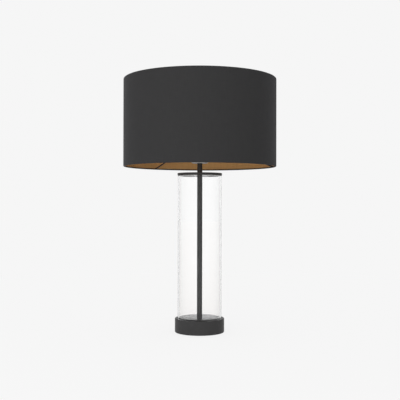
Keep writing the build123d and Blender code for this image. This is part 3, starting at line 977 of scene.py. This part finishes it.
# Bulb: a rolled nickel cap with a solder tip in black glass, a white moulded neck and an opal globe. It
# screws into the brass shell of the lampholder.
tip_low, tip_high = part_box("bulb_tip")
insulator_low, insulator_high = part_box("bulb_insulator")
bulb_cap_low, bulb_cap_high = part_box("bulb_cap")
neck_low, neck_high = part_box("bulb_neck")
globe_low, globe_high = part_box("bulb_globe")
bulb_thread_pitch = 0.00363
bulb_thread_depth = 0.001
bulb_thread_steps = 72
bulb_cap_collar = 0.005
bulb_thread_top = bulb_cap_high.z - bulb_cap_collar
bulb_cap_wall = 0.0006
bulb_facets = 96
nickel_dull = (0.55, 0.53, 0.50, 1)
nickel_bright = (0.68, 0.66, 0.62, 1)
cap_glass_black = (0.006, 0.006, 0.007, 1)
cap_glass_grey = (0.012, 0.011, 0.012, 1)
neck_white = (0.74, 0.735, 0.72, 1)
neck_pale = (0.80, 0.795, 0.78, 1)
neck_roughness = 0.36
opal_white = (0.80, 0.79, 0.77, 1)
opal_pale = (0.84, 0.835, 0.82, 1)


def cap_nickel(start):
    """Plated cap, rubbed where it has been screwed in and out."""
    wear = grain(start, size=0.005, detail=3.0)
    return {
        "Base Color": wear.mix(nickel_dull, nickel_bright),
        "Metallic": 1.0,
        "Roughness": 0.2 + 0.2 * wear,
    }


def cap_insulator(start):
    """Poured black glass, smooth and shiny."""
    return {
        "Base Color": grain(start, size=0.004).mix(cap_glass_black, cap_glass_grey),
        "Roughness": 0.12 + 0.1 * grain(start, size=0.002),
    }


def bulb_opal(start):
    """Milky diffuser that lets light a little way in."""
    return {
        "Base Color": grain(start, size=0.02).mix(opal_white, opal_pale),
        "Roughness": 0.38 + 0.06 * grain(start, size=0.001),
        "Subsurface Weight": 0.25,
        "Subsurface Radius": (0.004, 0.004, 0.0035),
        "Subsurface Scale": 1.0,
    }


def knuckle_thread(angle, radius, height):
    """Rolled thread of the bulb's cap, which fades in and out over one pitch."""
    if radius < bulb_cap_high.x - bulb_cap_wall / 2 or height > bulb_thread_top:
        return radius, height
    fade_in = (height - bulb_cap_low.z) / bulb_thread_pitch
    fade_out = (bulb_thread_top - height) / bulb_thread_pitch
    depth = bulb_thread_depth * min(1, fade_in, fade_out)
    return radius - depth * thread_dip(angle, height, bulb_thread_pitch), height


tip_rounding = 0.0005
tip_facets = 48
tip_outline = rounded(
    (0, tip_low.z),
    (tip_high.x, tip_low.z, tip_rounding),
    (tip_high.x, tip_high.z),
    (0, tip_high.z),
)
fitted("bulb_solder_tip", turned(tip_outline, tip_facets), zinc_finish, "bulb", "bulb_tip")

insulator_facets = 64
insulator_outline = rounded(
    (0, insulator_low.z),
    (tip_high.x, insulator_low.z),
    (insulator_high.x, insulator_high.z),
    (0, insulator_high.z),
)
insulator_finish = finish_of("cap_insulator", cap_insulator)
insulator_mesh = turned(insulator_outline, insulator_facets)
fitted("bulb_black_glass", insulator_mesh, insulator_finish, "bulb", "bulb_insulator")

cap_rim_rounding = 0.0003
cap_bore = bulb_cap_high.x - bulb_thread_depth - bulb_cap_wall
bulb_cap_outline = [(0, bulb_cap_low.z + bulb_cap_wall), (0, bulb_cap_low.z)]
for step in range(bulb_thread_steps + 1):
    cap_height = bulb_cap_low.z + (bulb_thread_top - bulb_cap_low.z) * step / bulb_thread_steps
    bulb_cap_outline.append((bulb_cap_high.x, cap_height))
bulb_cap_outline += [
    (bulb_cap_high.x, bulb_cap_high.z),
    (bulb_cap_high.x - bulb_cap_wall / 2, bulb_cap_high.z),
    (bulb_cap_high.x - bulb_cap_wall, bulb_cap_high.z - cap_rim_rounding),
    (cap_bore, bulb_cap_high.z - cap_rim_rounding),
    (cap_bore, bulb_cap_low.z + bulb_cap_wall),
]
nickel_finish = finish_of("cap_nickel", cap_nickel)
bulb_cap_mesh = turned(bulb_cap_outline, bulb_facets, knuckle_thread)
fitted("bulb_screw_cap", bulb_cap_mesh, nickel_finish, "bulb", "bulb_cap")

neck_step = 0.0005
neck_curve_steps = 16
neck_pull_share = 0.45
neck_pull = (neck_high.z - bulb_cap_high.z) * neck_pull_share
neck_spigot = bulb_cap_high.x - bulb_thread_depth - 2 * bulb_cap_wall
globe_radius = globe_high.x
globe_centre = globe_high.z - globe_radius
neck_seat = math.sqrt(globe_radius**2 - (globe_centre - globe_low.z) ** 2)
neck_start = Vector((bulb_cap_high.x + neck_step, bulb_cap_high.z))
neck_end = Vector((neck_seat, neck_high.z))
neck_lead = neck_start + Vector((0, neck_pull))
neck_trail = neck_end - Vector((globe_centre - globe_low.z, neck_seat)).normalized() * neck_pull
neck_outline = [
    (0, neck_high.z),
    (0, neck_low.z),
    (neck_spigot, neck_low.z),
    (neck_spigot, bulb_cap_high.z),
]
for step in range(neck_curve_steps + 1):
    share = step / neck_curve_steps
    first = neck_start.lerp(neck_lead, share)
    middle = neck_lead.lerp(neck_trail, share)
    last = neck_trail.lerp(neck_end, share)
    neck_outline.append(tuple(first.lerp(middle, share).lerp(middle.lerp(last, share), share)))
white_finish = finish_of("bulb_white", moulded(neck_white, neck_pale, neck_roughness))
fitted("bulb_white_neck", turned(neck_outline, bulb_facets), white_finish, "bulb", "bulb_neck")

globe_wall = 0.0012
globe_steps = 40
globe_facets = 128
globe_outline = []
for radius, order in ((globe_radius, 1), (globe_radius - globe_wall, -1)):
    low_angle = -math.asin((globe_centre - globe_low.z) / radius)
    curve = []
    for step in range(globe_steps + 1):
        rise = low_angle + (math.pi / 2 - low_angle) * step / globe_steps
        out = radius * math.cos(rise) if step < globe_steps else 0
        curve.append((out, globe_centre + radius * math.sin(rise)))
    globe_outline += curve[::order]
opal_finish = finish_of("bulb_opal", bulb_opal)
fitted("bulb_opal_globe", turned(globe_outline, globe_facets), opal_finish, "bulb", "bulb_globe")
